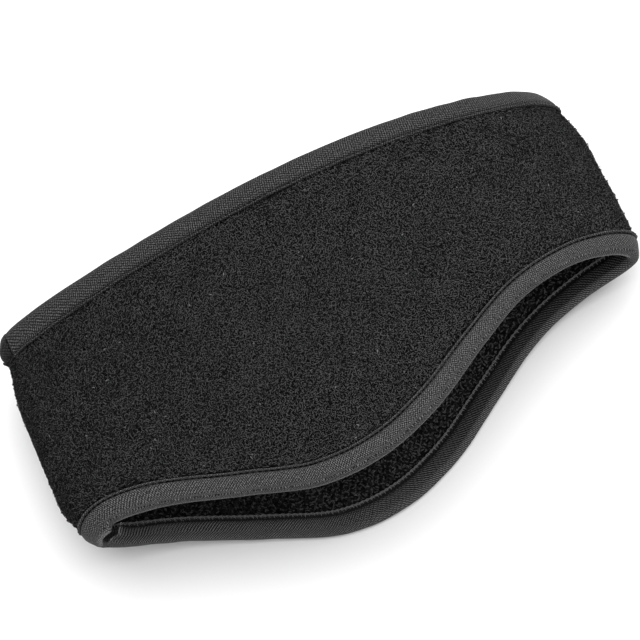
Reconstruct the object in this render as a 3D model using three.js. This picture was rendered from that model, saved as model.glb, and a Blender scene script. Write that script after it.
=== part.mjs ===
import * as THREE from 'three';

// Fleece ear warmer headband with knit-bound edges, lying on its side. Millimetres, +Z up.
// +X runs from the back fold to the front fold, and +Y towards the edge nearer the crown.
// The loop has an upper wall that arches over an open hollow and a lower wall that rests.

// The loop as it lies, measured on the middle of its wall.
const HALF_LENGTH = 120;
const EAR_HEIGHT = 125.4;
const TOP_DIP = 3.4;
const BACK_FOLD_RISE = 27;
const FRONT_FOLD_RISE = 17;
const TOP_ARCH = 43.7;
const LOWER_ARCH = 31.3;
const BACK_SHOULDER = 20.2;
const FRONT_SHOULDER = 11.5;
const ARCH_LEAN = 0.149;
const ARCH_EASE = 0.246;
const RESTING_SHARE = 0.148;

// Thicknesses of the cloth and of the bound edge.
const FLEECE = 3;
const FLEECE_AT_EDGE = 2.4;
const BINDING_CLOTH = 1;
const CLEARANCE = 0.3;

// Finished width of the bindings, their stitched groove and their lapped join.
const BINDING_WIDTH = 10;
const GROOVE_INSET = 1.7;
const GROOVE_HALF_WIDTH = 0.7;
const GROOVE_DEPTH = 0.35;
const LIP_ROUNDING = 0.25;
const JOIN_SWELL = 0.7;
const JOIN_TURN = 0.2;

// Sections around the loop, drawn a little closer together at the folds.
const STATIONS = 84;
const STATION_CROWDING = 0.12;
const FIELD_ROWS = 5;

// Depth of the lower edge under the top edge, as a share of EAR_HEIGHT.
// place runs from -1 at the back fold to 1 at the front fold.
const LOWER_EDGE = [
  { place: -1.0, depth: 0.759 },
  { place: -0.75, depth: 0.814 },
  { place: -0.5, depth: 0.909 },
  { place: -0.25, depth: 0.999 },
  { place: 0.0, depth: 0.996 },
  { place: 0.2, depth: 0.926 },
  { place: 0.4, depth: 0.811 },
  { place: 0.6, depth: 0.704 },
  { place: 0.8, depth: 0.653 },
  { place: 1.0, depth: 0.649 },
];

// Reach of the two folds, as a share of HALF_LENGTH.
// height is the share of the band's height there, from its lower edge up.
const FOLD_OUTLINE = [
  { height: 0.0, back: 0.944, front: 0.970 },
  { height: 0.12, back: 0.997, front: 0.999 },
  { height: 0.3, back: 1.009, front: 1.008 },
  { height: 0.5, back: 1.014, front: 1.002 },
  { height: 0.7, back: 1.009, front: 1.008 },
  { height: 0.88, back: 0.983, front: 0.984 },
  { height: 1.0, back: 0.980, front: 0.949 },
];

// Width of the stretched bindings around the loop, as a share of BINDING_WIDTH.
// around is 0 at the front fold, 1 at the back fold and 2 at the front fold again.
const BINDING_STRETCH = [
  { around: 0.0, top: 0.96, lower: 0.88 },
  { around: 0.35, top: 0.98, lower: 0.84 },
  { around: 0.65, top: 1.04, lower: 1.0 },
  { around: 0.88, top: 1.2, lower: 1.06 },
  { around: 1.0, top: 1.1, lower: 1.06 },
  { around: 1.5, top: 1.0, lower: 0.98 },
  { around: 1.8, top: 1.0, lower: 0.96 },
  { around: 2.0, top: 0.96, lower: 0.88 },
];

const EDGE_RADIUS = FLEECE_AT_EDGE / 2 + CLEARANCE + BINDING_CLOTH;
const CHANNEL_RADIUS = FLEECE_AT_EDGE / 2 + CLEARANCE;
const NORMAL_STEP = 0.001;

const { clamp, lerp, smoothstep } = THREE.MathUtils;

// Value of a table's column at any place along its key, as a smooth curve through the rows.
function readTable(rows, key, column, at) {
  const last = rows.length - 1;
  const gap = (row) => rows[row + 1][key] - rows[row][key];
  const slope = (row) => (rows[row + 1][column] - rows[row][column]) / gap(row);
  const tangent = (row) => {
    if (row === 0 || row === last) {
      return slope(Math.min(row, last - 1));
    }
    return (gap(row) * slope(row - 1) + gap(row - 1) * slope(row)) / (gap(row - 1) + gap(row));
  };
  let row = 0;
  while (row < last - 1 && at > rows[row + 1][key]) {
    row += 1;
  }
  const span = gap(row);
  const t = clamp((at - rows[row][key]) / span, 0, 1);
  return rows[row][column] * (1 + 2 * t) * (1 - t) ** 2
    + tangent(row) * span * t * (1 - t) ** 2
    + rows[row + 1][column] * (3 - 2 * t) * t ** 2
    - tangent(row + 1) * span * (1 - t) * t ** 2;
}

// Every place on the loop is named by its turn, 0 at the front fold and PI at the back fold,
// with the upper wall between them and the lower wall from PI on to 2 PI.
function lowerEdge(turn) {
  return -EAR_HEIGHT * readTable(LOWER_EDGE, 'place', 'depth', Math.cos(turn));
}

function topEdge(turn) {
  return -TOP_DIP * Math.sin(turn) ** 2;
}

// Middle of the wall at a turn and a Y.
function wallMiddle(turn, y) {
  const place = Math.cos(turn);
  const height = clamp((y - lowerEdge(turn)) / (topEdge(turn) - lowerEdge(turn)), 0, 1);
  const back = -HALF_LENGTH * readTable(FOLD_OUTLINE, 'height', 'back', height);
  const front = HALF_LENGTH * readTable(FOLD_OUTLINE, 'height', 'front', height);
  const foldRise = lerp(BACK_FOLD_RISE, FRONT_FOLD_RISE, (place + 1) / 2);
  let z = EDGE_RADIUS + foldRise;
  if (Math.sin(turn) >= 0) {
    const leaning = place - ARCH_LEAN * (1 - place ** 2);
    const arch = lerp(LOWER_ARCH, TOP_ARCH, height) * (1 - ARCH_EASE * leaning ** 2);
    const shoulder = (place > 0 ? FRONT_SHOULDER : BACK_SHOULDER) * (1 - height) ** 2;
    z += arch * Math.sqrt(Math.max(0, 1 - leaning ** 2));
    z += shoulder * Math.abs(place) ** 5 * Math.sin(turn);
  } else {
    const lift = clamp((Math.abs(place) - RESTING_SHARE) / (1 - RESTING_SHARE), 0, 1);
    z -= foldRise * Math.sqrt(1 - lift ** 2);
  }
  return new THREE.Vector3(lerp(back, front, (place + 1) / 2), y, z);
}

// Direction out of the loop at a turn and a Y.
function wallNormal(turn, y) {
  const around = wallMiddle(turn + NORMAL_STEP, y).sub(wallMiddle(turn - NORMAL_STEP, y));
  const up = wallMiddle(turn, y + NORMAL_STEP).sub(wallMiddle(turn, y - NORMAL_STEP));
  return up.cross(around).normalize();
}

// Turn and Y of a place that lies squarely inset from one of the two edges.
function insetFrom(edge, sign, turn, inset) {
  const y = edge(turn);
  const speed = wallMiddle(turn + NORMAL_STEP, y).distanceTo(wallMiddle(turn - NORMAL_STEP, y))
    / (2 * NORMAL_STEP);
  const slope = (edge(turn + NORMAL_STEP) - edge(turn - NORMAL_STEP)) / (2 * NORMAL_STEP * speed);
  const length = Math.hypot(1, slope);
  return { turn: turn - sign * inset * slope / (length * speed), y: y + sign * inset / length };
}

// Point of a section: a place on the wall's middle, lifted out of the loop.
function lifted(place, lift) {
  return wallMiddle(place.turn, place.y).addScaledVector(wallNormal(place.turn, place.y), lift);
}

// Closed ring of equal sections around the loop.
function ringMesh(name, sectionAt, color, roughness) {
  const positions = [];
  const indices = [];
  let count = 0;
  for (let station = 0; station < STATIONS; station += 1) {
    const even = 2 * Math.PI * station / STATIONS;
    const section = sectionAt(even + STATION_CROWDING * Math.sin(2 * even));
    count = section.length;
    for (const point of section) {
      positions.push(point.x, point.y, point.z);
    }
  }
  for (let station = 0; station < STATIONS; station += 1) {
    const here = station * count;
    const next = ((station + 1) % STATIONS) * count;
    for (let corner = 0; corner < count; corner += 1) {
      const following = (corner + 1) % count;
      indices.push(here + corner, next + corner, next + following);
      indices.push(here + corner, next + following, here + following);
    }
  }
  const geometry = new THREE.BufferGeometry();
  geometry.setAttribute('position', new THREE.Float32BufferAttribute(positions, 3));
  geometry.setIndex(indices);
  geometry.computeVertexNormals();
  const mesh = new THREE.Mesh(
    geometry,
    new THREE.MeshStandardMaterial({ color, roughness, metalness: 0 }),
  );
  mesh.name = name;
  return mesh;
}

// Width of a binding at a turn, from its edge to its stitched lip.
function bindingWidth(column, turn) {
  return BINDING_WIDTH * readTable(BINDING_STRETCH, 'around', column, turn / Math.PI);
}

// Half of the fleece's outline next to one edge, from its rounded tip to its full thickness.
function fleeceEdge(width) {
  const radius = FLEECE_AT_EDGE / 2;
  return [
    { inset: EDGE_RADIUS - radius, lift: 0 },
    { inset: EDGE_RADIUS - radius * 0.71, lift: radius * 0.71 },
    { inset: EDGE_RADIUS, lift: radius },
    { inset: width + CLEARANCE, lift: radius },
    { inset: width + 2, lift: FLEECE / 2 },
  ];
}

// Section of the fleece wall: up its inner face and back down its outer face.
function fleeceSection(turn) {
  const low = fleeceEdge(bindingWidth('lower', turn))
    .map(({ inset, lift }) => ({ place: insetFrom(lowerEdge, 1, turn, inset), lift }));
  const top = fleeceEdge(bindingWidth('top', turn))
    .map(({ inset, lift }) => ({ place: insetFrom(topEdge, -1, turn, inset), lift }));
  const from = low[low.length - 1].place;
  const to = top[top.length - 1].place;
  const field = [];
  for (let row = 1; row <= FIELD_ROWS; row += 1) {
    const share = row / (FIELD_ROWS + 1);
    const place = { turn: lerp(from.turn, to.turn, share), y: lerp(from.y, to.y, share) };
    field.push({ place, lift: FLEECE / 2 });
  }
  const wall = [...low, ...field, ...top.reverse()];
  const outer = wall.slice(1, -1).reverse();
  return [
    ...wall.map(({ place, lift }) => lifted(place, -lift)),
    ...outer.map(({ place, lift }) => lifted(place, lift)),
  ];
}

// One leg of a binding from its rounded edge to its lip, with the groove its stitches pull in.
function bindingLeg(width) {
  const groove = width - GROOVE_INSET;
  return [
    { inset: EDGE_RADIUS, lift: EDGE_RADIUS },
    { inset: groove - GROOVE_HALF_WIDTH, lift: EDGE_RADIUS },
    { inset: groove, lift: EDGE_RADIUS - GROOVE_DEPTH },
    { inset: groove + GROOVE_HALF_WIDTH, lift: EDGE_RADIUS },
    { inset: width, lift: EDGE_RADIUS - LIP_ROUNDING },
  ];
}

// Half circle around the edge, from the outer leg to the inner leg.
function edgeArc(radius, steps) {
  const arc = [];
  for (let step = 1; step < steps; step += 1) {
    const angle = Math.PI * step / steps;
    arc.push({
      inset: EDGE_RADIUS - radius * Math.sin(angle),
      lift: radius * Math.cos(angle),
    });
  }
  return arc;
}

// Section of a binding: a channel folded over the fleece's edge, swollen where its ends lap.
function bindingSection(edge, sign, turn, width) {
  const fromBack = Math.abs(turn - Math.PI) / JOIN_TURN;
  const swell = JOIN_SWELL * (1 - smoothstep(fromBack, 0.4, 1));
  const leg = bindingLeg(width);
  const skin = [
    ...[...leg].reverse(),
    ...edgeArc(EDGE_RADIUS, 4),
    ...leg.map(({ inset, lift }) => ({ inset, lift: -lift })),
  ];
  const channel = [
    { inset: width, lift: -CHANNEL_RADIUS },
    { inset: EDGE_RADIUS, lift: -CHANNEL_RADIUS },
    ...edgeArc(CHANNEL_RADIUS, 4).reverse(),
    { inset: EDGE_RADIUS, lift: CHANNEL_RADIUS },
    { inset: width, lift: CHANNEL_RADIUS },
  ];
  const swollen = skin.map(({ inset, lift }) => ({
    inset: inset - swell * clamp((EDGE_RADIUS - inset) / EDGE_RADIUS, 0, 1),
    lift: lift > 0 ? lift + swell : lift,
  }));
  const points = [...swollen, ...channel]
    .map(({ inset, lift }) => lifted(insetFrom(edge, sign, turn, inset), lift));
  return sign > 0 ? points : points.reverse();
}

const group = new THREE.Group();
group.name = 'ear_warmer_headband';
group.add(
  ringMesh('fleece_band', fleeceSection, '#2c2c2d', 0.98),
  ringMesh(
    'upper_binding',
    (turn) => bindingSection(topEdge, -1, turn, bindingWidth('top', turn)),
    '#4b4b4d',
    0.85,
  ),
  ringMesh(
    'lower_binding',
    (turn) => bindingSection(lowerEdge, 1, turn, bindingWidth('lower', turn)),
    '#4b4b4d',
    0.85,
  ),
);

const centre = new THREE.Box3().setFromObject(group).getCenter(new THREE.Vector3());
for (const mesh of group.children) {
  mesh.geometry.translate(-centre.x, -centre.y, 0);
}

export default group;
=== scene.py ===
"""Ear warmer headband: a contoured fleece band with knit binding on both edges, lying on its side."""

import math

import bpy
import numpy as np
from mathutils import Matrix, Vector


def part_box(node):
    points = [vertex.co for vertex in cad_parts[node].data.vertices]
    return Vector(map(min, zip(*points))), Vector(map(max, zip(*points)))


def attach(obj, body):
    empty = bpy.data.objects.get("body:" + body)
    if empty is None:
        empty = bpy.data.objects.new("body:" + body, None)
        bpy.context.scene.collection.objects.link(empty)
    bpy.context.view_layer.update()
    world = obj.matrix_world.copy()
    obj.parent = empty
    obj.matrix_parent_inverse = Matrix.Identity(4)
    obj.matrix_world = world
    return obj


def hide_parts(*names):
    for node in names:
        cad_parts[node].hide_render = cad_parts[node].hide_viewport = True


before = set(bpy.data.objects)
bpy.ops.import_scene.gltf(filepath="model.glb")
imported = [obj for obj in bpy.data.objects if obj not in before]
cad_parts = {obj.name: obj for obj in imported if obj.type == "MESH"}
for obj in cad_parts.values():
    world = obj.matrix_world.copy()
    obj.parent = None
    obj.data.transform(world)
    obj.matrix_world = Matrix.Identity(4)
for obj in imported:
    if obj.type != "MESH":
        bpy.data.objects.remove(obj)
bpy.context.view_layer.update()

# The camera looks down on the band from the side of its lower edge, with a long lens, rolled so
# that the band climbs to the right as it does in the photograph.
VIEW_AZIMUTH = math.radians(-2.367)
VIEW_ELEVATION = math.radians(62.989)
VIEW_ROLL = math.radians(-23.453)
VIEW_DISTANCE = 1.1
VIEW_LENS = 161.05
VIEW_CENTRE = Vector((-0.00204, 0.00891, 0.03550))


def aim_camera():
    """Camera at a distance from its centre along azimuth and elevation, then rolled."""
    back = Vector((
        math.sin(VIEW_AZIMUTH) * math.cos(VIEW_ELEVATION),
        -math.cos(VIEW_AZIMUTH) * math.cos(VIEW_ELEVATION),
        math.sin(VIEW_ELEVATION),
    ))
    level = Vector((math.cos(VIEW_AZIMUTH), math.sin(VIEW_AZIMUTH), 0.0))
    upright = back.cross(level)
    across = math.cos(VIEW_ROLL) * level + math.sin(VIEW_ROLL) * upright
    up = math.cos(VIEW_ROLL) * upright - math.sin(VIEW_ROLL) * level
    lens = bpy.data.cameras.new("camera")
    lens.lens = VIEW_LENS
    lens.sensor_width = 36.0
    lens.clip_start = 0.05
    camera = bpy.data.objects.new("camera", lens)
    bpy.context.scene.collection.objects.link(camera)
    turned = Matrix((across, up, back)).transposed().to_4x4()
    camera.matrix_world = Matrix.Translation(VIEW_CENTRE + VIEW_DISTANCE * back) @ turned
    bpy.context.scene.camera = camera


aim_camera()

# Fleece band. One wall of brushed polyester fleece, pile on both faces, cut deep over the ears
# and narrow at the front, closed into a loop at the back. Laid down, it folds softly at its two
# ends, arches over its hollow and flattens where it rests.
HALF_LENGTH = 120.0
EAR_HEIGHT = 125.4
TOP_DIP = 3.4
BACK_FOLD_RISE = 27.0
FRONT_FOLD_RISE = 17.0
TOP_ARCH = 43.7
LOWER_ARCH = 31.3
BACK_SHOULDER = 20.2
FRONT_SHOULDER = 11.5
ARCH_LEAN = 0.149
ARCH_EASE = 0.246
RESTING_SHARE = 0.148
EDGE_RADIUS = 2.5
FLEECE_THICKNESS = 3.0
FLEECE_EDGE_THICKNESS = 2.4
BINDING_WIDTH = 10.0
SOFT_WAVE_HEIGHT = 0.45
SOFT_WAVE_LENGTH = 34

# Place from -1 at the back fold to 1 at the front fold, and depth as a share of EAR_HEIGHT.
LOWER_EDGE = np.array([
    (-1.0, 0.759), (-0.75, 0.814), (-0.5, 0.909), (-0.25, 0.999), (0.0, 0.996),
    (0.2, 0.926), (0.4, 0.811), (0.6, 0.704), (0.8, 0.653), (1.0, 0.649),
])
# Share of the height, then the reach of the back and front folds as shares of HALF_LENGTH.
FOLD_OUTLINE = np.array([
    (0.0, 0.944, 0.970), (0.12, 0.997, 0.999), (0.3, 1.009, 1.008), (0.5, 1.014, 1.002),
    (0.7, 1.009, 1.008), (0.88, 0.983, 0.984), (1.0, 0.980, 0.949),
])
# Half turns round the loop, then the widths of the top and lower binding over BINDING_WIDTH.
BINDING_STRETCH = np.array([
    (0.0, 0.96, 1.0), (0.13, 0.97, 0.88), (0.35, 0.98, 0.84), (0.65, 1.04, 1.0),
    (0.86, 1.2, 1.07), (0.91, 1.2, 0.93), (0.95, 1.12, 0.82), (1.0, 0.9, 0.8),
    (1.06, 0.9, 0.86), (1.12, 0.98, 0.95), (1.5, 1.0, 0.98), (1.8, 1.0, 0.96),
    (2.0, 0.96, 1.0),
])


def read_table(table, column, at):
    """Smooth curve through a table's rows: cubics whose slope at a row is the gap-weighted mean."""
    keys, values = table[:, 0], table[:, column]
    gaps = np.diff(keys)
    slopes = np.diff(values) / gaps
    inner = (gaps[1:] * slopes[:-1] + gaps[:-1] * slopes[1:]) / (gaps[:-1] + gaps[1:])
    tangents = np.concatenate([slopes[:1], inner, slopes[-1:]])
    row = np.clip(np.searchsorted(keys, at, side="right") - 1, 0, len(gaps) - 1)
    t = np.clip((at - keys[row]) / gaps[row], 0, 1)
    return (
        values[row] * (1 + 2 * t) * (1 - t) ** 2
        + tangents[row] * gaps[row] * t * (1 - t) ** 2
        + values[row + 1] * (3 - 2 * t) * t ** 2
        - tangents[row + 1] * gaps[row] * (1 - t) * t ** 2
    )


def lower_edge(turn):
    """Y of the lower edge, from its table. Turn is 0 at the front fold and pi at the back."""
    return -EAR_HEIGHT * read_table(LOWER_EDGE, 1, np.cos(turn))


def top_edge(turn):
    """Y of the top edge: it dips between the folds as the square of the turn's sine."""
    return -TOP_DIP * np.sin(turn) ** 2


def wall_middle(turn, y):
    """Middle of the wall. X runs between the two fold outlines with the cosine of the turn. Z is
    the fold's rise plus a leaning half-ellipse arch above, or less a quarter ellipse below."""
    turn, y = np.broadcast_arrays(turn, y)
    place = np.cos(turn)
    low, top = lower_edge(turn), top_edge(turn)
    height = np.clip((y - low) / (top - low), 0, 1)
    back = -HALF_LENGTH * read_table(FOLD_OUTLINE, 1, height)
    front = HALF_LENGTH * read_table(FOLD_OUTLINE, 2, height)
    rise = BACK_FOLD_RISE + (FRONT_FOLD_RISE - BACK_FOLD_RISE) * (place + 1) / 2
    leaning = place - ARCH_LEAN * (1 - place ** 2)
    arch = LOWER_ARCH + (TOP_ARCH - LOWER_ARCH) * height
    above = arch * (1 - ARCH_EASE * leaning ** 2) * np.sqrt(np.clip(1 - leaning ** 2, 0, 1))
    shoulder = np.where(place > 0, FRONT_SHOULDER, BACK_SHOULDER) * (1 - height) ** 2
    above += shoulder * np.abs(place) ** 5 * np.sin(turn)
    lift = np.clip((np.abs(place) - RESTING_SHARE) / (1 - RESTING_SHARE), 0, 1)
    below = -rise * np.sqrt(1 - lift ** 2)
    z = EDGE_RADIUS + rise + np.where(np.sin(turn) >= 0, above, below)
    return np.stack([back + (front - back) * (place + 1) / 2, y, z], -1)


def unit(vectors):
    """Each vector divided by its length."""
    return vectors / np.linalg.norm(vectors, axis=-1, keepdims=True)


def wall_axes(turn, y):
    """Unit directions around the loop, up the wall and out of it, from small steps each way."""
    step = 0.001
    around = unit(wall_middle(turn + step, y) - wall_middle(turn - step, y))
    up = unit(wall_middle(turn, y + step) - wall_middle(turn, y - step))
    return around, up, unit(np.cross(up, around))


def inset_from(edge, sign, turn, inset):
    """Turn and Y of places squarely inset from an edge, measured along the wall."""
    step = 0.001
    y = edge(turn)
    span = wall_middle(turn + step, y) - wall_middle(turn - step, y)
    speed = np.linalg.norm(span, axis=-1) / (2 * step)
    slope = (edge(turn + step) - edge(turn - step)) / (2 * step * speed)
    length = np.hypot(1, slope)
    return turn - sign * inset * slope / (length * speed), y + sign * inset / length


def binding_width(column, turn):
    """Width of the stretched binding, column 1 on the top edge and 2 on the lower edge."""
    return BINDING_WIDTH * read_table(BINDING_STRETCH, column, np.mod(turn, 2 * np.pi) / np.pi)


def lie_on_floor(points):
    """Nothing reaches below the surface it lies on: the cloth flattens there."""
    points[..., 2] = np.maximum(points[..., 2], 0.0)
    return points


def waves(points, size, count, seed):
    """Random soft relief of about unit height: a sum of plane waves of about one wavelength, each
    with its own random direction and phase."""
    random = np.random.default_rng(seed)
    directions = unit(random.normal(size=(count, 3)))
    pitches = size * random.uniform(0.7, 1.5, count)
    phases = random.uniform(0, 2 * np.pi, count)
    total = np.zeros(points.shape[:-1])
    for direction, pitch, phase in zip(directions, pitches, phases):
        total += np.sin(points @ direction * (2 * np.pi / pitch) + phase)
    return total / math.sqrt(count / 2)


def soft_waves(middle):
    """How far the cloth's long soft waves stand out of the wall, at places on its middle."""
    return SOFT_WAVE_HEIGHT * waves(middle, SOFT_WAVE_LENGTH, 18, 3)[..., None]


def frame_shift():
    """Moves the formula's millimetres to the frame: its own outline is centred on the CAD's."""
    low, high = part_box("fleece_band")
    turn = np.linspace(0, 2 * np.pi, 721)
    tips = []
    for sign, edge in ((1, lower_edge), (-1, top_edge)):
        at, y = inset_from(edge, sign, turn, EDGE_RADIUS - FLEECE_EDGE_THICKNESS / 2)
        tips.append(wall_middle(at, y))
    ends = [wall_middle(t, np.linspace(lower_edge(t), top_edge(t), 99)) for t in (0.0, np.pi)]
    reach = FLEECE_THICKNESS / 2
    middle_x = (ends[0][:, 0].max() + reach + ends[1][:, 0].min() - reach) / 2
    middle_y = (tips[0][:, 1].min() + tips[1][:, 1].max()) / 2
    return np.array([
        (low.x + high.x) * 500 - middle_x,
        (low.y + high.y) * 500 - middle_y,
        0.0,
    ])


SHIFT = frame_shift()


def to_metres(points):
    """Millimetres of the formula to metres of the frame."""
    return (points + SHIFT) * 0.001


def add_mesh(name, points, faces):
    """A smooth-shaded piece from an array of points in millimetres and a list of faces."""
    mesh = bpy.data.meshes.new(name)
    mesh.from_pydata(to_metres(points.reshape(-1, 3)), [], faces)
    mesh.shade_smooth()
    piece = bpy.data.objects.new(name, mesh)
    bpy.context.scene.collection.objects.link(piece)
    return piece


def ring_faces(stations, count):
    """Quads of a closed tube: each station's ring of points joined to the next, all wrapped."""
    station = np.arange(stations)[:, None]
    corner = np.arange(count)[None, :]
    after, following = (station + 1) % stations, (corner + 1) % count
    return np.stack([
        station * count + corner,
        after * count + corner,
        after * count + following,
        station * count + following,
    ], -1).reshape(-1, 4)


def even_turns(stations, y_edge):
    """Turns that start at the back fold and are evenly spaced along an edge of the loop."""
    turn = np.linspace(np.pi, 3 * np.pi, 4001)
    path = wall_middle(turn, y_edge(turn))
    length = np.concatenate([[0], np.cumsum(np.linalg.norm(np.diff(path, axis=0), axis=1))])
    wanted = np.linspace(0, length[-1], stations, endpoint=False)
    return np.interp(wanted, length, turn), wanted, length[-1]


FLEECE_STATIONS = 400
FLEECE_FIELD_ROWS = 50


def fleece_rows(width):
    """Inset and lift of the fleece beside one edge: a rounded tip, thin under the binding, pinched
    along the stitched lip, then a quick swell to full thickness."""
    radius = FLEECE_EDGE_THICKNESS / 2
    one = np.ones_like(width)
    return [
        (one * (EDGE_RADIUS - radius), 0.0),
        (one * (EDGE_RADIUS - radius * 0.71), radius * 0.71),
        (one * EDGE_RADIUS, radius),
        (width - 0.6, radius),
        (width + 0.05, radius - 0.3),
        (width + 0.5, radius - 0.3),
        (width + 1.0, FLEECE_THICKNESS / 2 - 0.1),
        (width + 2.0, FLEECE_THICKNESS / 2),
    ]


def fleece_points():
    """Grid of stations around the loop by places round the wall's section: up the inner face and
    down the outer face, each place lifted from the wall's middle and eased by long soft waves."""
    turn, _, _ = even_turns(FLEECE_STATIONS, lambda at: 0.5 * (lower_edge(at) + top_edge(at)))
    turns, ys, lifts = [], [], []
    for sign, edge, column in ((1, lower_edge, 2), (-1, top_edge, 1)):
        rows = fleece_rows(binding_width(column, turn))
        placed = [inset_from(edge, sign, turn, inset) + (lift,) for inset, lift in rows]
        turns.append([row[0] for row in placed])
        ys.append([row[1] for row in placed])
        lifts.append([row[2] for row in placed])
    share = np.arange(1, FLEECE_FIELD_ROWS + 1)[:, None] / (FLEECE_FIELD_ROWS + 1)
    field_turn = turns[0][-1] + (turns[1][-1] - turns[0][-1]) * share
    field_y = ys[0][-1] + (ys[1][-1] - ys[0][-1]) * share
    field_lift = np.full(FLEECE_FIELD_ROWS, FLEECE_THICKNESS / 2)
    at_turn = np.concatenate([turns[0], field_turn, turns[1][::-1]]).T
    at_y = np.concatenate([ys[0], field_y, ys[1][::-1]]).T
    lift = np.concatenate([lifts[0], field_lift, lifts[1][::-1]])
    middle = wall_middle(at_turn, at_y)
    outward = wall_axes(at_turn, at_y)[2]
    free = np.clip((lift - FLEECE_EDGE_THICKNESS / 2) / 0.3, 0, 1)[None, :, None]
    soft = soft_waves(middle) * free
    outer = middle + outward * (lift[None, :, None] + soft)
    inner = middle + outward * (soft - lift[None, :, None])
    return lie_on_floor(np.concatenate([inner, outer[:, -2:0:-1]], axis=1))


def linear(code):
    """A hex sRGB colour as linear red, green, blue and alpha."""
    parts = np.array([int(code[i:i + 2], 16) for i in (1, 3, 5)]) / 255
    light = np.where(parts <= 0.04045, parts / 12.92, ((parts + 0.055) / 1.055) ** 2.4)
    return (*light.tolist(), 1.0)


def add_node(tree, kind, settings=None, inputs=None):
    """Adds a node with its settings, and fills its inputs with values or links."""
    node = tree.nodes.new(kind)
    for name, value in (settings or {}).items():
        setattr(node, name, value)
    for name, value in (inputs or {}).items():
        if isinstance(value, bpy.types.NodeSocket):
            tree.links.new(value, node.inputs[name])
        else:
            node.inputs[name].default_value = value
    return node


def new_material(name):
    """An empty node material, with its tree and its Principled shader."""
    material = bpy.data.materials.new(name)
    material.use_nodes = True
    tree = material.node_tree
    return material, tree, tree.nodes["Principled BSDF"]


def colour_ramp(tree, factor, stops):
    """A ramp of (position, hex colour) stops."""
    ramp = add_node(tree, "ShaderNodeValToRGB", None, {"Fac": factor})
    elements = ramp.color_ramp.elements
    while len(elements) < len(stops):
        elements.new(0.5)
    for element, (position, code) in zip(elements, stops):
        element.position = position
        element.color = linear(code)
    return ramp.outputs["Color"]


FLEECE_GRAIN = 1.4


def brushed_fleece():
    """Brushed polyester fleece: matte, its loops raised into small tangled clumps about 1 mm
    across, so it reads as charcoal tips over nearly black gaps."""
    material, tree, shader = new_material("brushed_polyester_fleece")
    place = add_node(tree, "ShaderNodeTexCoord").outputs["Object"]
    clumps = add_node(
        tree, "ShaderNodeTexNoise", None,
        {"Vector": place, "Scale": 1000 / FLEECE_GRAIN, "Detail": 4.0, "Roughness": 0.72,
         "Distortion": 0.5},
    ).outputs["Fac"]
    shade = colour_ramp(tree, clumps, [
        (0.40, "#070707"), (0.50, "#161616"), (0.60, "#262626"), (0.70, "#343434"),
    ])
    tree.links.new(shade, shader.inputs["Base Color"])
    bump = add_node(
        tree, "ShaderNodeBump", None,
        {"Height": clumps, "Strength": 1.0, "Distance": 0.0014},
    )
    tree.links.new(bump.outputs["Normal"], shader.inputs["Normal"])
    shader.inputs["Roughness"].default_value = 1.0
    shader.inputs["Specular IOR Level"].default_value = 0.05
    return material


points = fleece_points()
fleece = add_mesh("fleece_wall", points, ring_faces(*points.shape[:2]).tolist())
fleece.data.materials.append(brushed_fleece())
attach(fleece, "root")
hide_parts("fleece_band")

# Pile. The brushed ends of the fleece's yarn: short fibres that curl over the surface in every
# direction and gather in clumps, charcoal where they stand up and nearly black between.
FIBRE_LENGTH = 1.3
FIBRE_WIDTH = 0.6
FIBRE_RISE = 0.3
CLUMP_PERIOD = 2.3
PILE_OUTSET = 0.12
GAP_AT_LOWER_LIP = 0.95
GAP_AT_TOP_LIP = 0.25
STANDING_SHARE = 0.08
FLECK_SHARE = 0.0014
OUTER_FIBRES = 160000
INNER_FIBRES = 44000

# At a fibre's root, middle and tip: its height over FIBRE_RISE, and its half width over
# FIBRE_WIDTH.
FIBRE_HUMP = (0.1, 1.0, 0.3)
FIBRE_TAPER = (0.4, 0.55, 0.2)

# The two steps of the golden sequence that spreads points most evenly over a square.
GOLDEN_STEP_AROUND = 0.7548776662
GOLDEN_STEP_UP = 0.5698402910


def clump_tone(along, y):
    """Random field with one dominant period: a sum of plane waves of nearly equal length, in
    evenly random directions over the spread-out cloth. Its ridges wander like worms."""
    random = np.random.default_rng(41)
    total = np.zeros_like(along)
    for angle in random.uniform(0, 2 * np.pi, 40):
        pace = 2 * np.pi / (CLUMP_PERIOD * random.uniform(0.82, 1.2))
        total += np.sin(pace * (along * np.cos(angle) + y * np.sin(angle)) + angle * 97)
    return total / math.sqrt(20)


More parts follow.
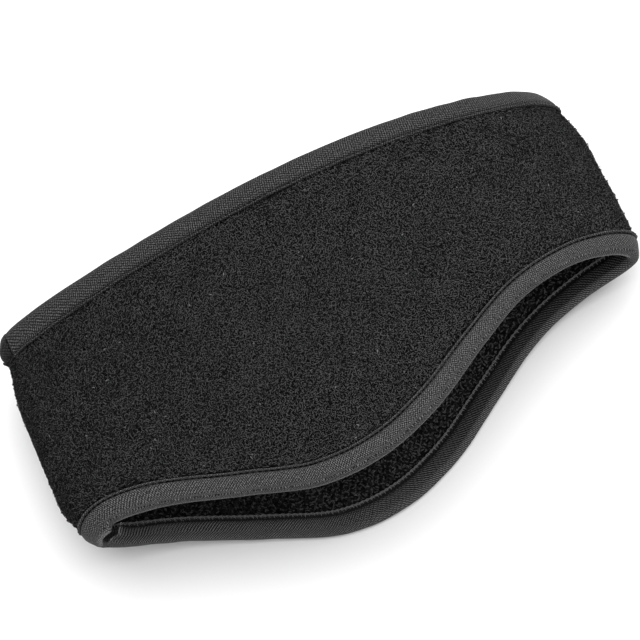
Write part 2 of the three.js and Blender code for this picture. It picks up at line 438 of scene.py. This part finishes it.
def fibre_piece(name, numbers, side, seed):
    """Curled ribbons spread evenly over one face of the fleece, side 1 outside or -1 inside, by a
    two-way golden sequence. Each is two short quads along a turning arc, humped over the wall, with
    painted shade along one side and a painted highlight along the other, as a fibre beside its gap."""
    random = np.random.default_rng(seed)
    line, lengths, total = even_turns(4000, lambda at: 0.5 * (lower_edge(at) + top_edge(at)))
    along = np.mod(numbers * GOLDEN_STEP_AROUND, 1) * total
    turn = np.interp(along, lengths, line)
    low_inset = binding_width(2, turn) + GAP_AT_LOWER_LIP
    top_inset = binding_width(1, turn) + GAP_AT_TOP_LIP
    low_turn, low_y = inset_from(lower_edge, 1, turn, low_inset)
    top_turn, top_y = inset_from(top_edge, -1, turn, top_inset)
    at_y = low_y + np.mod(numbers * GOLDEN_STEP_UP, 1) * EAR_HEIGHT
    kept = at_y < top_y
    along, at_y = along[kept], at_y[kept]
    share = (at_y - low_y[kept]) / (top_y[kept] - low_y[kept])
    at_turn = low_turn[kept] + (top_turn[kept] - low_turn[kept]) * share
    around, up, outward = wall_axes(at_turn, at_y)
    middle = wall_middle(at_turn, at_y)
    root = middle + outward * (soft_waves(middle) + side * (FLEECE_THICKNESS / 2 + PILE_OUTSET))
    outward = outward * side
    count = len(root)
    heading = random.uniform(0, 2 * np.pi, count)
    bend = random.uniform(-2.6, 2.6, count)
    length = FIBRE_LENGTH * random.uniform(0.6, 1.3, count)
    clump = clump_tone(along, at_y)
    rise = FIBRE_RISE * (random.uniform(0.3, 1.2, count) + 0.25 * np.clip(clump, -1, 1))
    rise = np.where(random.uniform(0, 1, count) < STANDING_SHARE, 2 * rise, rise)
    fleck = random.uniform(0, 1, count) < FLECK_SHARE
    width = FIBRE_WIDTH * np.where(fleck, 0.6, 1.0)
    spine, sides = [], []
    place = root - 0.1 * outward
    for step in range(3):
        angle = heading + bend * step / 2
        along_fibre = around * np.cos(angle)[:, None] + up * np.sin(angle)[:, None]
        hump = rise * FIBRE_HUMP[step]
        spine.append(place + outward * hump[:, None])
        reach = width * FIBRE_TAPER[step]
        sides.append(np.cross(along_fibre, outward) * reach[:, None])
        place = place + along_fibre * (length / 2)[:, None]
    spine, sides = np.stack(spine, 1), np.stack(sides, 1)
    points = lie_on_floor(np.stack([spine - sides, spine + sides], 2))
    first = np.arange(count)[:, None] * 6 + np.arange(2)[None, :] * 2
    faces = np.stack([first, first + 1, first + 3, first + 2], -1).reshape(-1, 4)
    piece = add_mesh(name, points, faces.tolist())
    # Each fibre's tone: paler on ridges and in soft clouds, and painted paler towards the front and
    # inside the loop as painted light.
    cloud = waves(middle, 14, 24, 7)
    forward = middle[:, 0] / HALF_LENGTH
    tone = 0.6 - 0.115 * side + 0.12 * clump + 0.03 * cloud + 0.045 * forward
    tone += (1 - side) * (0.045 + 0.04 * forward)
    tone += random.uniform(-0.14, 0.14, count)
    # Painted light and shade: its two long sides are painted apart, pale and dark, by an amount that
    # fades inside the loop and towards the folds.
    painted_side_shading = random.uniform(0.34, 0.7, count) * random.choice([-1, 1], count)
    painted_side_shading *= (0.75 + 0.3 * side) * (1.05 - 0.22 * forward ** 2)
    tone = tone[:, None] + painted_side_shading[:, None] * np.tile([-1.0, 1.0], 3)
    tone = np.where(fleck[:, None], 1.06, np.clip(tone, 0, 1))
    layer = piece.data.attributes.new("fibre_tone_and_painted_shading", "FLOAT", "POINT")
    layer.data.foreach_set("value", tone.reshape(-1).astype(np.float32))
    return piece


def fleece_fibre():
    """A single brushed polyester fibre end: matte charcoal, its tone partly its own and partly
    painted light and shade.
    """
    material, tree, shader = new_material("fleece_fibre")
    tone = add_node(
        tree, "ShaderNodeAttribute", {"attribute_name": "fibre_tone_and_painted_shading"}
    ).outputs["Fac"]
    tone = add_node(
        tree, "ShaderNodeMath", {"operation": "MULTIPLY"}, {0: tone, 1: 0.625}
    ).outputs["Value"]
    shade = colour_ramp(tree, tone, [
        (0.02, "#000000"), (0.2, "#080808"), (0.4, "#242424"), (0.6, "#505050"), (1.0, "#b8b8b8"),
    ])
    tree.links.new(shade, shader.inputs["Base Color"])
    shader.inputs["Roughness"].default_value = 0.9
    shader.inputs["Specular IOR Level"].default_value = 0.02
    return material


fibre = fleece_fibre()
for name, numbers, side, seed in (
    ("outer_pile_a", np.arange(0, OUTER_FIBRES, 3), 1, 21),
    ("outer_pile_b", np.arange(1, OUTER_FIBRES, 3), 1, 22),
    ("outer_pile_c", np.arange(2, OUTER_FIBRES, 3), 1, 24),
    ("inner_pile", np.arange(INNER_FIBRES), -1, 23),
):
    pile = fibre_piece(name, numbers, side, seed)
    pile.data.materials.append(fibre)
    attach(pile, "root")

# Bindings. A strip of fine stretch knit is folded over each edge of the fleece and stitched
# down through both lips. The thread pulls a groove beside each lip and twists the lip into a
# rope, and the strip's ends lap at the back fold.
BINDING_STATIONS = 1100
CHANNEL_RADIUS = FLEECE_EDGE_THICKNESS / 2 + 0.3
STITCH_PITCH = 2.3
GROOVE_INSET = 1.0
GROOVE_DEPTH = 0.9
CROWN_HEIGHT = 0.16
SINK_DEPTH = 0.35

# At the back fold, along the loop from it: negative is the wall that arches, seen from above.
UPPER_CREASE = -7.5
CREASE_WIDTH = 0.65
KNOB_WIDTH = 4.2
KNOB_HEIGHT = 1.1
LEDGE_START = -15.0
LEDGE_REACH = 3.0
BULGE_HEIGHT = 0.7

# For each leg, the reach of its groove towards the edge, the groove's depth, the lip's height,
# the slope from the crown down to the groove, and the painted shade in the groove.
UPPER_OUTER_LEG = (0.4, 0.7, 0.15, 0.3, 0.7)
UPPER_INNER_LEG = (1.1, 0.8, 0.15, 1.6, 0.35)
LOWER_OUTER_LEG = (0.5, 0.9, 0.3, 0.3, 0.6)
LOWER_INNER_LEG = (1.1, 0.9, 0.15, 1.6, 0.3)


def ease(low, high, value):
    """Smooth step from 0 at low to 1 at high, which may lie on either side of it."""
    share = np.clip((value - low) / (high - low), 0, 1)
    return share * share * (3 - 2 * share)


def leg_profile(width, along, leg):
    """Inset, lift and painted shade of one leg of the binding, lip last: a gentle crown, painted
    darker where it sinks; the stitched groove, painted dark as shade; and the lip, which swells and
    thins once a stitch, slanting like a rope, painted paler as a highlight and darker at its outer
    edge."""
    reach, depth, lip, slope, dark = leg
    share = np.linspace(0, 1, 8)[:, None]
    groove = width - GROOVE_INSET
    body = EDGE_RADIUS + share * (groove - reach - 0.3 - EDGE_RADIUS)
    sunk = SINK_DEPTH * ease(groove - reach - 0.3 - slope, groove - reach, body)
    crown = EDGE_RADIUS + CROWN_HEIGHT * np.sin(np.pi * share) ** 0.8 - sunk
    beat = 2 * np.pi * along / STITCH_PITCH
    # The last number of each row is painted shade: dark in the groove, a painted highlight on the
    # lip, darker at its outer edge.
    rows = [
        (groove - reach, EDGE_RADIUS - 0.8 * depth + 0 * beat, dark),
        (groove - 0.2, EDGE_RADIUS - depth - 0.05 * np.cos(beat), dark),
        (groove + 0.1, EDGE_RADIUS - depth - 0.05 * np.cos(beat), dark),
        (groove + 0.32, EDGE_RADIUS + 0.5 * lip + 0.12 * np.cos(beat - 0.5), 1.0),
        (groove + 0.56, EDGE_RADIUS + lip + 0.15 * np.cos(beat - 1.1), 1.1),
        (groove + 0.8, EDGE_RADIUS + 0.4 * lip + 0.12 * np.cos(beat - 1.7), 1.0),
        (width + 0.05 * np.cos(beat - 2.2), EDGE_RADIUS - 0.45 + 0.05 * np.cos(beat - 2.0), 0.7),
    ]
    insets = np.concatenate([body, np.stack([row[0] for row in rows])])
    lifts = np.concatenate([crown, np.stack([row[1] for row in rows])])
    painted_shades = np.concatenate([1 - 0.6 * sunk, np.stack([row[2] + 0 * beat for row in rows])])
    return insets, lifts, painted_shades


def arc_profile(radius, steps):
    """Inset and lift of the half circle round the edge, from the outer leg to the inner leg."""
    angle = np.pi * np.arange(1, steps)[:, None] / steps
    return EDGE_RADIUS - radius * np.sin(angle), radius * np.cos(angle)


def gathered_top(inset, lift, from_back):
    """The top strip at the back fold: a sharp crease, painted dark as shade, squarely across its
    outer leg where its end laps, as a narrow dip in lift that notches the rounded edge too, and
    beyond the crease a roll, painted darker as shade, that starts a little lower and swells into a
    knob round the fold itself."""
    outside = ease(-0.5, 1.5, lift) * ease(1.5, 4.0, inset)
    crease = np.exp(-(((from_back - UPPER_CREASE) / CREASE_WIDTH) ** 2))
    roll = ease(UPPER_CREASE, UPPER_CREASE + 0.8, from_back) * (1 - ease(2, 8, from_back))
    rim = np.clip(1 - inset / EDGE_RADIUS, 0, 1) * ease(-1.5, 0.5, lift)
    # Painted shade darkens the crease, the notch it makes in the rim, and the roll.
    shade = 1 - outside * np.maximum(0.95 * crease, 0.62 * roll) - 0.6 * rim * crease
    knob = np.exp(-(((from_back - 0.5) / KNOB_WIDTH) ** 2)) * roll
    inset = inset + rim * (0.7 * crease - 0.5 * roll)
    dip = np.maximum(0.9 * crease, 0.6 * roll * (1 - knob))
    return inset, lift + outside * (KNOB_HEIGHT * knob - dip), shade


def gathered_lower(inset, lift, from_back):
    """The lower strip at the back fold: its outer leg bulges, its rounded edge reaches out as a ledge
    that starts with a kink and has a painted highlight on its rim, and the inner leg is drawn in,
    painted dark as shade, up to a slanting pleat whose crest has a painted highlight."""
    start = ease(LEDGE_START - 0.8, LEDGE_START + 1.6, from_back)
    bulge = BULGE_HEIGHT * ease(0.0, 2.0, lift) * ease(8.5, 4.0, inset)
    bulge = bulge * np.exp(-((from_back / 8) ** 2))
    rim = np.clip(1 - inset / EDGE_RADIUS, 0, 1) ** 0.7 * ease(-0.6, 0.5, lift)
    ledge = rim * start * (1 - ease(-2, 8, from_back))
    pleat = 5.0 + 2.4 * np.clip(inset, 0, 2.5) + 0.87 * np.clip(inset - 2.5, 0, 8)
    inside = ease(0.1, 1.2, -lift)
    drawn_in = start * (1 - ease(pleat - 1.2, pleat, from_back))
    ridge = ease(pleat - 1.0, pleat, from_back) * ease(pleat + 5.0, pleat + 0.3, from_back)
    crest = np.exp(-(((from_back - pleat - 0.1) / 0.6) ** 2))
    # Painted light and shade: highlights on the ledge's rim and the pleat's crest, shade in the
    # drawn-in pocket.
    shade = 1 + 2.0 * ledge ** 8 + inside * (4.0 * crest - 0.7 * drawn_in)
    lift = lift + bulge + inside * (0.95 * drawn_in - 1.0 * ridge)
    return inset - LEDGE_REACH * ledge, lift, shade


def binding_piece(name, edge, sign, column, outer, inner):
    """A channel carried round an edge of the loop: outer leg, half circle, inner leg, then back
    inside the fold, each point lifted from the wall's middle. UV is millimetres of cloth, the first
    attribute is the light and shade painted into the knit, cloth_slant where it is aslant, and
    cloth_lines where its lines stand out from its speckle, on the wall that lies flat."""
    turn, along, total = even_turns(BINDING_STATIONS, edge)
    width = binding_width(column, turn)
    outer_inset, outer_lift, outer_painted_shade = leg_profile(width, along, outer)
    inner_inset, inner_lift, inner_painted_shade = leg_profile(width, along, inner)
    arc_inset, arc_lift = arc_profile(EDGE_RADIUS, 9)
    hollow_inset, hollow_lift = arc_profile(CHANNEL_RADIUS, 4)
    wide = np.ones_like(turn)
    inset = np.concatenate([
        outer_inset[::-1], arc_inset * wide, inner_inset,
        [width, EDGE_RADIUS * wide], hollow_inset[::-1] * wide, [EDGE_RADIUS * wide, width],
    ])
    lift = np.concatenate([
        outer_lift[::-1], arc_lift * wide, -inner_lift,
        [-CHANNEL_RADIUS * wide] * 2, hollow_lift[::-1] * wide, [CHANNEL_RADIUS * wide] * 2,
    ])
    skin = len(outer_inset) * 2 + len(arc_inset)
    from_back = np.where(along > total / 2, along - total, along)
    gather = gathered_lower if sign > 0 else gathered_top
    shade = np.ones_like(lift)
    inset[:skin], lift[:skin], shade[:skin] = gather(inset[:skin], lift[:skin], from_back)
    shade[:len(outer_inset)] *= outer_painted_shade[::-1]
    # Painted light and shade: inside, the knit is painted paler towards the back fold and darker
    # over the front half. Painted highlight: the rim of the arched wall is painted paler.
    painted_inside_light = 1.25 - 0.8 * ease(212, 77, np.abs(along - total / 2))
    shade[skin - len(inner_inset):skin] *= inner_painted_shade * painted_inside_light
    rim = np.exp(-(((arc_lift + 0.7) / 0.7) ** 2)) * (along > total / 2)
    shade[len(outer_inset):skin - len(inner_inset)] += 2.6 * rim
    at_turn, at_y = inset_from(edge, sign, turn, inset)
    middle = wall_middle(at_turn, at_y)
    outward = wall_axes(at_turn, at_y)[2]
    pucker = 0.12 * waves(middle, 11, 16, 31 + column)
    points = middle + outward * (lift + pucker)[..., None]
    points = lie_on_floor(points.transpose(1, 0, 2))
    count = points.shape[1]
    faces = ring_faces(BINDING_STATIONS, count)
    piece = add_mesh(name, points, (faces if sign > 0 else faces[:, ::-1]).tolist())
    steps = np.linalg.norm(np.diff(points[0], axis=0), axis=1)
    across = np.concatenate([[0], np.cumsum(steps)])
    station, corner = faces // count, faces % count
    closing = faces.max(1, keepdims=True) >= count * (BINDING_STATIONS - 1)
    round_loop = np.where((station == 0) & closing, total, along[station])
    uv = np.stack([round_loop, across[corner]], -1)
    if sign < 0:
        uv = uv[:, ::-1]
    layer = piece.data.uv_layers.new(name="cloth_mm")
    layer.data.foreach_set("uv", uv.reshape(-1).astype(np.float32))
    part = along / total
    slant = ease(0.15, 0.25, part) * (1 - ease(0.44, 0.6, part)) + 0 * lift
    lines = ease(0.0, 0.04, part) * (1 - ease(0.44, 0.6, part)) + 0 * lift
    for title, values in (
        ("painted_knit_shading", shade), ("cloth_slant", slant), ("cloth_lines", lines),
    ):
        layer = piece.data.attributes.new(title, "FLOAT", "POINT")
        layer.data.foreach_set("value", values.T.reshape(-1).astype(np.float32))
    return piece


UPPER_KNIT_PITCH = 0.82
LOWER_KNIT_PITCH = 0.74
UPPER_KNIT_ANGLES = (24, 115, 115)
LOWER_KNIT_ANGLES = (118, 40, 150)
# The knit's painted brightness: the lower binding is painted paler than the upper, for the light that
# falls more on it.
UPPER_KNIT_PAINTED_LIGHT = 0.98
LOWER_KNIT_PAINTED_LIGHT = 1.4
SPECKLES_PER_MM = 2.2
PATCHES_PER_MM = 0.16


def stretch_knit(name, pitch, angles, painted_light):
    """Fine stretch jersey, polyester and elastane: a close lattice of loops under a fine speckle,
    drawn a little coarser than the real gauge so that it shows. Its lines cross at the first two
    angles to the strip, or where it was pulled aslant, at the first and the third."""
    material, tree, shader = new_material(name)
    cloth = add_node(tree, "ShaderNodeUVMap", {"uv_map": "cloth_mm"}).outputs["UV"]
    wobble = add_node(
        tree, "ShaderNodeTexNoise", {"noise_dimensions": "2D"},
        {"Vector": cloth, "Scale": PATCHES_PER_MM, "Detail": 2.0},
    ).outputs["Fac"]
    # At scale 1 a band wave repeats every 2 pi / 20, and the cloth is measured in millimetres.
    ribs = []
    for angle in angles:
        turn_back = math.radians(90 - angle)
        turned = add_node(
            tree, "ShaderNodeMapping", None, {"Vector": cloth, "Rotation": (0, 0, turn_back)}
        ).outputs["Vector"]
        ribs.append(add_node(
            tree, "ShaderNodeTexWave", {"wave_type": "BANDS", "bands_direction": "X"},
            {"Vector": turned, "Scale": 2 * math.pi / 20 / pitch, "Distortion": 0.5,
             "Detail": 1.0, "Detail Scale": 1.2},
        ).outputs["Fac"])
    crossing = add_node(
        tree, "ShaderNodeMix", {"data_type": "FLOAT"}, {0: wobble, 2: ribs[0], 3: ribs[1]}
    ).outputs[0]
    slanting = add_node(
        tree, "ShaderNodeMix", {"data_type": "FLOAT"}, {0: 0.7, 2: ribs[0], 3: ribs[2]}
    ).outputs[0]
    pulled_aslant = add_node(
        tree, "ShaderNodeAttribute", {"attribute_name": "cloth_slant"}
    ).outputs["Fac"]
    lattice = add_node(
        tree, "ShaderNodeMix", {"data_type": "FLOAT"}, {0: pulled_aslant, 2: crossing, 3: slanting}
    ).outputs[0]
    speckle = add_node(
        tree, "ShaderNodeTexNoise", {"noise_dimensions": "2D"},
        {"Vector": cloth, "Scale": SPECKLES_PER_MM, "Detail": 2.0, "Roughness": 0.7},
    ).outputs["Fac"]
    standing_out = add_node(
        tree, "ShaderNodeAttribute", {"attribute_name": "cloth_lines"}
    ).outputs["Fac"]
    line_share = add_node(
        tree, "ShaderNodeMapRange", None, {"Value": standing_out, "To Min": 0.28, "To Max": 0.5}
    ).outputs["Result"]
    tone = add_node(
        tree, "ShaderNodeMix", {"data_type": "FLOAT"}, {0: line_share, 2: speckle, 3: lattice}
    ).outputs[0]
    tone = add_node(
        tree, "ShaderNodeMapRange", None, {"Value": tone, "From Min": 0.17, "From Max": 0.83}
    ).outputs["Result"]
    shade = colour_ramp(tree, tone, [(0.2, "#040404"), (0.5, "#232323"), (0.8, "#626262")])
    # Painted light and shade from the mesh, scaled by the knit's painted brightness, multiply its
    # colour.
    painted_shading = add_node(
        tree, "ShaderNodeAttribute", {"attribute_name": "painted_knit_shading"}
    ).outputs["Fac"]
    painted_shading = add_node(
        tree, "ShaderNodeMath", {"operation": "MULTIPLY"}, {0: painted_shading, 1: painted_light}
    ).outputs["Value"]
    shade = add_node(
        tree, "ShaderNodeMix", {"data_type": "RGBA", "blend_type": "MULTIPLY"},
        {0: 1.0, 6: shade, 7: painted_shading},
    ).outputs[2]
    tree.links.new(shade, shader.inputs["Base Color"])
    bump = add_node(
        tree, "ShaderNodeBump", None,
        {"Height": lattice, "Strength": 0.6, "Distance": 0.00025},
    )
    tree.links.new(bump.outputs["Normal"], shader.inputs["Normal"])
    shader.inputs["Roughness"].default_value = 0.75
    shader.inputs["Specular IOR Level"].default_value = 0.05
    shader.inputs["Sheen Weight"].default_value = 0.04
    shader.inputs["Sheen Roughness"].default_value = 0.4
    return material


for name, edge, sign, column, pitch, angles, painted_light, outer, inner in (
    ("upper_binding", top_edge, -1, 1, UPPER_KNIT_PITCH, UPPER_KNIT_ANGLES, UPPER_KNIT_PAINTED_LIGHT,
     UPPER_OUTER_LEG, UPPER_INNER_LEG),
    ("lower_binding", lower_edge, 1, 2, LOWER_KNIT_PITCH, LOWER_KNIT_ANGLES, LOWER_KNIT_PAINTED_LIGHT,
     LOWER_OUTER_LEG, LOWER_INNER_LEG),
):
    binding = binding_piece(name + "_knit", edge, sign, column, outer, inner)
    binding.data.materials.append(stretch_knit(name + "_jersey", pitch, angles, painted_light))
    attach(binding, "root")
    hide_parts(name)

# Stitches. A black lock stitch is sunk in the groove of each outer lip, and inside, two strands
# of paler looper thread cross over each lip once a stitch and cover its cut edge, with short
# loops of uneven length that drop from them into the groove.
THREAD_RADIUS = 0.28
LOOPER_RADIUS = 0.15
LOOPER_SWING = 0.24
DROP_LENGTH = 1.1
DROP_PITCH = 1.65
RING_CORNERS = 5
SPINE_POINTS = 6
TWISTS_PER_METRE = 2200.0


def thread_axes(edge, sign, turn, inset, lift):
    """Points at an inset from an edge and a lift off the wall, with the directions across the
    stitch row and out of the wall."""
    at_turn, at_y = inset_from(edge, sign, turn, inset)
    _, up, outward = wall_axes(at_turn, at_y)
    return wall_middle(at_turn, at_y) + outward * lift[..., None], up, outward


def short_threads(name, spine, radius):
    """Separate round threads, each a tube of rings round the points of its own spine, with closed
    ends. The rings stand square to the spine."""
    along = unit(np.gradient(spine, axis=1))
    side = unit(np.cross(along, [0.31, 0.42, 0.85]))
    corner = np.arange(RING_CORNERS)
    angle = corner * 2 * np.pi / RING_CORNERS
    ring = (side[..., None, :] * np.cos(angle)[:, None]
            + np.cross(along, side)[..., None, :] * np.sin(angle)[:, None])
    points = spine[..., None, :] + ring * radius[:, None, None]
    start = np.arange(len(spine))[:, None] * SPINE_POINTS * RING_CORNERS
    ring_start = start[..., None] + np.arange(SPINE_POINTS - 1)[None, :, None] * RING_CORNERS
    this, after = ring_start + corner, ring_start + (corner + 1) % RING_CORNERS
    sides = np.stack([this, after, after + RING_CORNERS, this + RING_CORNERS], -1)
    last_ring = (SPINE_POINTS - 1) * RING_CORNERS
    caps = np.concatenate([start + corner[::-1], start + last_ring + corner])
    faces = sides[..., ::-1].reshape(-1, 4).tolist() + caps[:, ::-1].tolist()
    return add_mesh(name, lie_on_floor(points), faces)


def lock_stitches(name, edge, sign, column):
    """A row of threads along the groove, one a stitch: each runs from hole to hole, and its
    middle rises as the sine of its length."""
    line, lengths, total = even_turns(4000, edge)
    count = round(total / STITCH_PITCH)
    share = np.linspace(0.06, 0.94, SPINE_POINTS)
    along = (np.arange(count)[:, None] + share[None, :]) * total / count
    turn = np.interp(along, lengths, line)
    bulge = np.sin(np.pi * (share - 0.06) / 0.88)
    inset = binding_width(column, turn) - GROOVE_INSET - 0.05 + 0.1 * (share - 0.5)
    lift = EDGE_RADIUS - GROOVE_DEPTH - 0.15 + 0.3 * bulge + 0 * turn
    spine = thread_axes(edge, sign, turn, inset, lift)[0]
    return short_threads(name, spine, THREAD_RADIUS * (0.25 + 0.75 * bulge ** 0.5))


def drop_loops(name, edge, sign, column):
    """A row of short threads square to the inner lip, each of its own length, from the looper
    threads down into the groove, where they dive as the square of their length."""
    random = np.random.default_rng(51 + column)
    line, lengths, total = even_turns(4000, edge)
    count = round(total / DROP_PITCH)
    share = np.linspace(0, 1, SPINE_POINTS)
    start = np.arange(count)[:, None] + random.uniform(0.0, 0.35, (count, 1))
    along = (start + random.uniform(-0.1, 0.3, (count, 1)) * share) * total / count
    turn = np.interp(along, lengths, line)
    length = DROP_LENGTH * random.uniform(0.35, 1.0, (count, 1))
    inset = binding_width(column, turn) - 0.4 - length * share
    lift = -(EDGE_RADIUS + 0.25 - 0.9 * share ** 2) + 0 * turn
    spine = thread_axes(edge, sign, turn, inset, lift)[0]
    return short_threads(name, spine, LOOPER_RADIUS * (1.9 - 1.2 * share))


def looper_threads(name, edge, sign, column):
    """Two strands that run round the loop beside each other. Each swings across the lip as the
    cosine of its length, one swing in two stitches, and thickens where it crosses the other."""
    samples = 8
    line, lengths, total = even_turns(4000, edge)
    count = 2 * round(total / STITCH_PITCH / 2)
    along = np.arange(count * samples) * total / (count * samples)
    turn = np.interp(along, lengths, line)
    beat = np.pi * np.arange(count * samples) / samples
    rings, faces = [], []
    for strand in range(2):
        swing = np.cos(beat + np.pi * strand)
        inset = binding_width(column, turn) - 0.5 + LOOPER_SWING * swing
        lift = -(EDGE_RADIUS + 0.45 + 0.2 * np.sin(beat + np.pi * strand + 0.4))
        spine, up, outward = thread_axes(edge, sign, turn, inset, lift)
        angle = np.arange(RING_CORNERS) * 2 * np.pi / RING_CORNERS
        ring = (up[..., None, :] * np.cos(angle)[:, None]
                + outward[..., None, :] * np.sin(angle)[:, None])
        radius = LOOPER_RADIUS * (1 + 0.3 * np.cos(2 * beat + 0.6))
        rings.append(spine[..., None, :] + radius[:, None, None] * ring)
        first = strand * count * samples * RING_CORNERS
        faces.append(ring_faces(count * samples, RING_CORNERS)[:, ::-1] + first)
    return add_mesh(name, lie_on_floor(np.stack(rings)), np.concatenate(faces).tolist())


def sewing_thread(name, code):
    """Spun polyester sewing thread: matte, with a fine twist across it that catches the light."""
    material, tree, shader = new_material(name)
    place = add_node(tree, "ShaderNodeTexCoord").outputs["Object"]
    twist = add_node(
        tree, "ShaderNodeTexNoise", None, {"Vector": place, "Scale": TWISTS_PER_METRE, "Detail": 1.0}
    ).outputs["Fac"]
    dark = tuple(0.4 * part for part in linear(code)[:3]) + (1.0,)
    shade = add_node(
        tree, "ShaderNodeMix", {"data_type": "RGBA"}, {0: twist, 6: dark, 7: linear(code)}
    ).outputs[2]
    tree.links.new(shade, shader.inputs["Base Color"])
    bump = add_node(
        tree, "ShaderNodeBump", None, {"Height": twist, "Strength": 0.5, "Distance": 0.0002}
    )
    tree.links.new(bump.outputs["Normal"], shader.inputs["Normal"])
    shader.inputs["Roughness"].default_value = 0.7
    shader.inputs["Specular IOR Level"].default_value = 0.06
    return material


black_thread = sewing_thread("black_polyester_thread", "#050505")
grey_thread = sewing_thread("grey_looper_thread", "#828282")
for name, edge, sign, column in (
    ("upper", top_edge, -1, 1), ("lower", lower_edge, 1, 2),
):
    for thread, row in (
        (black_thread, lock_stitches(name + "_lock_stitches", edge, sign, column)),
        (grey_thread, looper_threads(name + "_looper_threads", edge, sign, column)),
        (grey_thread, drop_loops(name + "_drop_loops", edge, sign, column)),
    ):
        row.data.materials.append(thread)
        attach(row, "root")

# Floor and light. A plain table of matte white board under a very wide softbox, with white walls
# all round, so that the table mirrors nothing and the shadow is faint.
SOFTBOX_PLACE = (0.4, 0.25, 1.5)
SOFTBOX_SIZE = 2.4
SOFTBOX_POWER = 41.0
ROOM_BRIGHTNESS = 0.7


def lay_floor():
    """A white square under the band."""
    half = 3.0
    mesh = bpy.data.meshes.new("floor")
    mesh.from_pydata(
        [(-half, -half, 0), (half, -half, 0), (half, half, 0), (-half, half, 0)], [],
        [(0, 1, 2, 3)],
    )
    floor = bpy.data.objects.new("floor", mesh)
    bpy.context.scene.collection.objects.link(floor)
    material, _, shader = new_material("matte_white_table")
    shader.inputs["Base Color"].default_value = linear("#f6f6f6")
    shader.inputs["Roughness"].default_value = 0.9
    mesh.materials.append(material)


def hang_softbox():
    """A square soft light overhead, a little to the right, facing the band."""
    lamp = bpy.data.lights.new("overhead_softbox", "AREA")
    lamp.size = SOFTBOX_SIZE
    lamp.energy = SOFTBOX_POWER
    light = bpy.data.objects.new("overhead_softbox", lamp)
    bpy.context.scene.collection.objects.link(light)
    light.location = SOFTBOX_PLACE
    light.rotation_euler = (-Vector(SOFTBOX_PLACE)).to_track_quat("-Z", "Y").to_euler()


def whiten_room():
    """White walls all round."""
    world = bpy.data.worlds.new("white_room")
    bpy.context.scene.world = world
    world.use_nodes = True
    walls = world.node_tree.nodes["Background"]
    walls.inputs["Color"].default_value = (1, 1, 1, 1)
    walls.inputs["Strength"].default_value = ROOM_BRIGHTNESS


lay_floor()
whiten_room()
hang_softbox()
bpy.context.scene.view_settings.view_transform = "Standard"
